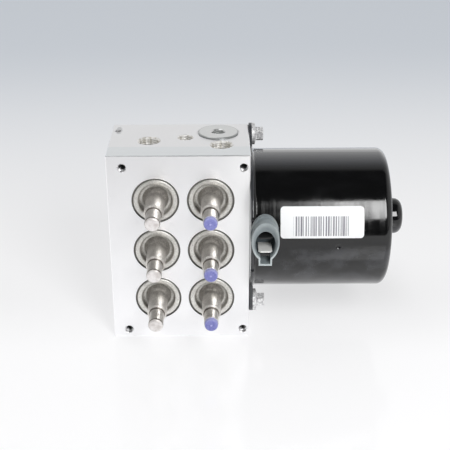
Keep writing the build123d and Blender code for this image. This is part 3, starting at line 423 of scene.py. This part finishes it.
# Label: white satin paper wrapped on the can, with a block of printed bars low on it. Each cell of a row
# holds one bar, of random width and sometimes split. Heights are counted in degrees round the can.
label_start = 17.9
bar_pitch, narrow, spread = 1.52, 0.38, 0.42
bars_start, bars_end, bars_low, bars_high = 7.9, 41.4, 8.4, 24.0
label = Finish("label_paper", Specular_IOR_Level=0.4)
along = label.x - motor_x - label_start
height = (label.z - motor_z).math("ARCTAN2", -1 * label.y) * (180 / pi)
printed = (along > bars_start) * (along < bars_end) * (height > bars_low) * (height < bars_high)
cell = (along / bar_pitch).math("FLOOR")
width = cell.node("TexWhiteNoise", {"W": cell + 3.5}, noise_dimensions="1D")
split = cell.node("TexWhiteNoise", {"W": cell + 81.5}, noise_dimensions="1D") > 0.55
within = along / bar_pitch - cell
gap = within.math("COMPARE", 0.36, 0.09) * split
bars = printed * (within < narrow + spread * width) * (1 - gap)
fibre = label.at.grain(0.4)
label.set(Base_Color=(0.90 * bars + 0.05 * fibre).tint((0.93, 0.94, 0.95), (0.17, 0.165, 0.20)))
label.set(Roughness=0.45 + 0.1 * fibre)
label.relief(fibre, 0.003)
label.dress("can_label")

# Connector socket, one moulding with the motor's brush card: blue-grey glass-filled plastic. Painted light
# pales its rim, most on its lower side, and painted shade darkens the mouth deep inside. The two blades
# in it are tinned brass strip, and the upper one is painted dark as the shadow it lies in.
socket_x, socket_z = 52.2, 79.3
socket = Finish("socket_plastic")
speck = socket.at.grain(0.5, detail=4)
rim = socket.y.rise(-56.9, -57.8)
socket_inner_shade = socket.y.rise(-55.5, -49.0) * (socket.away((socket_x, 0, socket_z), "xz") < 11.0)
tone = socket.at.grain(7.0)
# Painted light on the rim's lower side, and painted shade inside the mouth
lower = rim * socket.z.rise(80.0, 70.0)
pale = 0.20 * rim + 0.62 * lower + 0.35 * tone + 0.25 * speck + 0.03 - 0.40 * socket_inner_shade
socket.set(Base_Color=pale.math("MAXIMUM", 0.0).tint((0.10, 0.125, 0.14), (0.52, 0.57, 0.58)))
socket.set(Roughness=0.42 + 0.15 * speck)
socket.relief(speck, 0.012)
socket.dress("brush_card")

blade = Finish("tinned_blade")
rolled = blade.at.grain(0.3, stretch=(0.08, 1, 1))
# The upper blade is painted dark as the shadow it lies in
shadow = blade.z.rise(79.0, 81.0)
marks_and_shadow = (0.12 * rolled + 0.95 * shadow).math("MINIMUM", 1.0)
blade.set(Base_Color=marks_and_shadow.tint((0.98, 0.98, 0.95), (0.02, 0.02, 0.02)))
blade.set(Metallic=0.10, Roughness=0.50 + 0.15 * rolled)
blade.relief(rolled, 0.004)
blade.dress("connector_blades")

# Inside the motor: laminated core, lacquered copper windings, copper commutator, ferrite magnets, carbon
# brushes, and a ground shaft in its bearings.
sheet_thickness, wire_width = 0.5, 0.9
core = Finish("core_laminations", Metallic=1.0)
sheet = (core.x * (tau / sheet_thickness)).math("SINE")
core.set(Base_Color=core.at.grain(3.0).tint((0.30, 0.31, 0.34), (0.42, 0.43, 0.45)))
core.set(Roughness=0.45 + 0.05 * sheet)
core.relief(sheet, 0.05)
core.dress("armature_core")

copper = Finish("lacquered_wire", Metallic=1.0)
turn = (copper.away((0, 0, motor_z), "yz") * (tau / wire_width)).math("SINE")
copper.set(Base_Color=copper.at.grain(2.0).tint((0.52, 0.20, 0.08), (0.78, 0.36, 0.16)))
copper.set(Roughness=0.28 + 0.06 * turn)
copper.relief(turn, 0.20)
copper.dress("armature_windings")

bar = Finish("commutator_copper", Metallic=1.0)
track = bar.at.grain(0.25, stretch=(1, 0.1, 0.1))
bar.set(Base_Color=track.tint((0.50, 0.24, 0.13), (0.78, 0.44, 0.26)), Roughness=0.24 + 0.2 * track)
bar.relief(track, 0.005)
bar.dress("commutator")

ferrite = Finish("ferrite")
grit = ferrite.at.grain(0.4, detail=5)
ferrite.set(Base_Color=grit.tint((0.035, 0.035, 0.04), (0.08, 0.08, 0.085)), Roughness=0.6 + 0.2 * grit)
ferrite.relief(grit, 0.02)
ferrite.dress("field_magnets", "brush_upper", "brush_lower")

ground = Finish("ground_steel", Metallic=1.0)
grind = ground.at.grain(0.2, stretch=(1, 0.05, 0.05))
ground.set(Base_Color=grind.tint((0.56, 0.55, 0.54), (0.70, 0.69, 0.68)), Roughness=0.16 + 0.12 * grind)
ground.relief(grind, 0.002)
pistons = [f"pump_piston_{side}" for side in ("front", "back")]
ground.dress("motor_shaft", "motor_bearings", "eccentric_ring", "pump_sleeves", *pistons)

# Armatures, pistons, springs and seals inside the block: soft-iron armatures, anodised accumulator pistons,
# music wire springs and moulded rubber rings. The springs under the accumulators' pistons and behind the
# brushes are wound here with closed ends, in place of the CAD ones.
numbered = [(kind, number) for kind in valve_x for number in (1, 2, 3)]
iron = Finish("armature_iron", Metallic=1.0)
tarnish = iron.at.grain(1.5)
iron.set(Base_Color=tarnish.tint((0.40, 0.39, 0.38), (0.55, 0.54, 0.52)), Roughness=0.3 + 0.2 * tarnish)
iron.relief(tarnish, 0.004)
iron.dress(*(f"{kind}_valve_armature_{number}" for kind, number in numbered))

anodised = Finish("anodised_piston", Metallic=1.0)
bloom = anodised.at.grain(2.5)
anodised.set(Base_Color=bloom.tint((0.50, 0.45, 0.30), (0.62, 0.56, 0.38)), Roughness=0.35 + 0.1 * bloom)
anodised.relief(bloom, 0.003)
anodised.dress("accumulator_piston_left", "accumulator_piston_right")

wire = Finish("spring_wire", Metallic=1.0)
draw = wire.at.grain(0.5)
wire.set(Base_Color=draw.tint((0.38, 0.37, 0.36), (0.56, 0.55, 0.54)), Roughness=0.25 + 0.15 * draw)
wire.relief(draw, 0.003)
springs = [f"{kind}_valve_spring_{number}" for kind, number in numbered]
springs += [f"accumulator_spring_{side}" for side in ("left", "right")]
springs += [f"brush_spring_{side}" for side in ("upper", "lower")]
springs += [f"pump_spring_{side}" for side in ("front", "back")]
wire.dress(*springs)

coil_turns, closed_turns, end_gap = 5.5, 0.75, 0.00002
coil_steps, wire_sides = 48, 10


def coil(node, radius, thick, fixed_top):
    """A spring in the place of a CAD one, filling that one's box. Along it the angle runs round the axis
    while the height grows, slowly over the closed end turns and evenly between; across it a circle of the
    wire's radius goes from the axis outwards and up. fixed_top is not used."""
    low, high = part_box(node)
    middle = (low + high) / 2
    first, last = low.z + end_gap + thick / 2, high.z - end_gap - thick / 2
    lay = 1.05 * thick * closed_turns
    turn = np.linspace(0, coil_turns, int(coil_turns * coil_steps))[:, None]
    heights = [first, first + lay, last - lay, last]
    height = np.interp(turn, [0, closed_turns, coil_turns - closed_turns, coil_turns], heights)
    round_wire = np.linspace(0, tau, wire_sides, endpoint=False)[None]
    reach = radius + thick / 2 * np.cos(round_wire)
    sideways = middle.x + reach * np.cos(tau * turn)
    backwards = middle.y + reach * np.sin(tau * turn)
    points = np.stack([sideways, backwards, height + thick / 2 * np.sin(round_wire)], axis=-1)
    made = solid(node.replace("spring", "coil"), [tube(points)])
    made.data.materials.append(wire.material)
    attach(made, "housing")
    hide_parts(node)
    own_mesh(made)


for side in ("left", "right"):
    coil(f"accumulator_spring_{side}", 0.0063, 0.0015, fixed_top=False)
for side in ("upper", "lower"):
    coil(f"brush_spring_{side}", 0.0021, 0.0005, fixed_top=side == "upper")

rubber = Finish("seal_rubber")
bloom = rubber.at.grain(1.0)
rubber.set(Base_Color=bloom.tint((0.012, 0.012, 0.012), (0.035, 0.035, 0.035)), Roughness=0.5 + 0.2 * bloom)
rubber.relief(bloom, 0.01)
rubber.dress("valve_seals", "plug_seals", "accumulator_seal_left", "accumulator_seal_right")

# Table: a wide pale sheet, a little glossy, fading to grey at the back, with a soft shade painted under the
# motor. Gloss sees it clouded, brighter towards the object and ending half a metre in front of it, where the
# dark room begins. From below it can be seen through.
half_side = 4.0
corners = half_side * np.array([[-1.0, -1.0, 0.0], [1.0, -1.0, 0.0], [1.0, 1.0, 0.0], [-1.0, 1.0, 0.0]])
table = solid("table", [(corners, [[0, 1, 2, 3]])], smooth=False)
pale = bpy.data.materials.new("pale_table")
pale.use_nodes = True
tree = pale.node_tree
tree.nodes.clear()
point = Wire(tree, tree.nodes.new("ShaderNodeTexCoord").outputs["Object"])
sideways, depth = (point.node("SeparateXYZ", {0: point}, output=i) for i in range(2))
path = tree.nodes.new("ShaderNodeLightPath").outputs
seen = Wire(tree, path["Is Camera Ray"]).math("MAXIMUM", Wire(tree, path["Is Transmission Ray"]))
glossy = Wire(tree, path["Is Glossy Ray"])
near = depth.rise(-0.60, -0.50)
sheen = depth.rise(0.05, 0.75).tint((0.79, 0.79, 0.80), (0.46, 0.50, 0.555))
clouds = 0.8 * (point.grain(0.035, detail=4) - 0.5)
right = sideways.rise(0.0, 0.05) * (0.17 - 0.35 * depth.rise(-0.30, -0.08))
mirrored = -0.05 + 0.42 * depth.rise(-0.36, -0.02) + right + clouds
under_motor = sideways.rise(0.03, 0.07) * sideways.rise(0.17, 0.13)
shade = under_motor * (depth - 0.045).math("ABSOLUTE").rise(0.06, 0.01)
direct = 0.09 * depth.rise(0.03, -0.06) - 0.12 * shade
brightness = 0.81 + mirrored * glossy + direct * (1 - glossy)
glow = depth.node("Emission", {"Color": sheen, "Strength": brightness})
soft = depth.node("BsdfDiffuse", {"Color": (0.34, 0.34, 0.34, 1.0)})
gloss = depth.node("BsdfGlossy", {"Color": (1.0, 1.0, 1.0, 1.0), "Roughness": 0.12})
lit = depth.node("AddShader", {0: glow, 1: soft})
polished = depth.node("MixShader", {0: 0.05, 1: lit, 2: gloss})
bounce = depth.node("BsdfDiffuse", {"Color": (0.80, 0.80, 0.80, 1.0)})
dark = depth.node("BsdfDiffuse", {"Color": (0.04, 0.04, 0.04, 1.0)})
unseen = depth.node("MixShader", {0: glossy * (1 - near), 1: bounce, 2: dark})
either = depth.node("MixShader", {0: seen.math("MAXIMUM", glossy * near), 1: unseen, 2: polished})
through = depth.node("BsdfTransparent", {})
below = Wire(tree, tree.nodes.new("ShaderNodeNewGeometry").outputs["Backfacing"])
whole = depth.node("MixShader", {0: below, 1: either, 2: through})
tree.links.new(whole.socket, tree.nodes.new("ShaderNodeOutputMaterial").inputs["Surface"])
table.data.materials.append(pale)

# Room: a dark studio in front and overhead, a bright backdrop behind that fades upwards, and lighter side
# walls. The camera itself sees plain white.
world = bpy.data.worlds.new("studio")
bpy.context.scene.world = world
world.use_nodes = True
tree = world.node_tree
tree.nodes.clear()
way = Wire(tree, tree.nodes.new("ShaderNodeTexCoord").outputs["Generated"])
side, behind, up = (way.node("SeparateXYZ", {0: way}, output=i) for i in range(3))
backdrop = behind.rise(0.20, 0.34) * (0.98 - 0.62 * up)
side_walls = 0.75 * side.rise(0.45, 0.85) + 0.60 * side.rise(-0.45, -0.85)
level = (0.02 + backdrop).math("MAXIMUM", side_walls)
camera_sees = Wire(tree, tree.nodes.new("ShaderNodeLightPath").outputs["Is Camera Ray"])
strength = level * (1 - camera_sees) + camera_sees
sky = way.node("Background", {"Color": (1.0, 1.0, 1.0, 1.0), "Strength": strength})
tree.links.new(sky.socket, tree.nodes.new("ShaderNodeOutputWorld").inputs["Surface"])

# Lamps: one tall softbox in front on the right, which draws the bright band on the can, and a broad dim one
# overhead on the left for the soft shadow under the motor.
focus = Vector((0.09, 0.0, motor_z * mm))


def softbox(name, azimuth, elevation, distance, width, height, power):
    """An area lamp that faces the focus. Azimuth is counted from the front towards the motor's end."""
    a, e = radians(azimuth), radians(elevation)
    lamp = bpy.data.lights.new(name, "AREA")
    lamp.shape, lamp.size, lamp.size_y, lamp.energy = "RECTANGLE", width, height, power
    placed = bpy.data.objects.new(name, lamp)
    placed.location = focus + distance * Vector((sin(a) * cos(e), -cos(a) * cos(e), sin(e)))
    placed.rotation_euler = (placed.location - focus).to_track_quat("Z", "Y").to_euler()
    bpy.context.scene.collection.objects.link(placed)


softbox("front_softbox", azimuth=20, elevation=33, distance=1.0, width=0.34, height=0.50, power=7.3)
softbox("overhead_softbox", azimuth=-70, elevation=62, distance=1.4, width=0.8, height=0.8, power=3.0)

# Camera: a short tele lens a little over half a metre in front of the block, looking down at the valves.
downwards, roll, turn = 24.90, 0.08, -0.52
lens = bpy.data.cameras.new("camera")
lens.lens, lens.sensor_width, lens.sensor_fit = 78.57, 36.0, "HORIZONTAL"
camera = bpy.data.objects.new("camera", lens)
camera.location = (0.0236, -0.5827, 0.3370)
camera.rotation_euler = (radians(90 - downwards), radians(roll), radians(turn))
bpy.context.scene.collection.objects.link(camera)
bpy.context.scene.camera = camera
bpy.context.scene.view_settings.view_transform = "Standard"
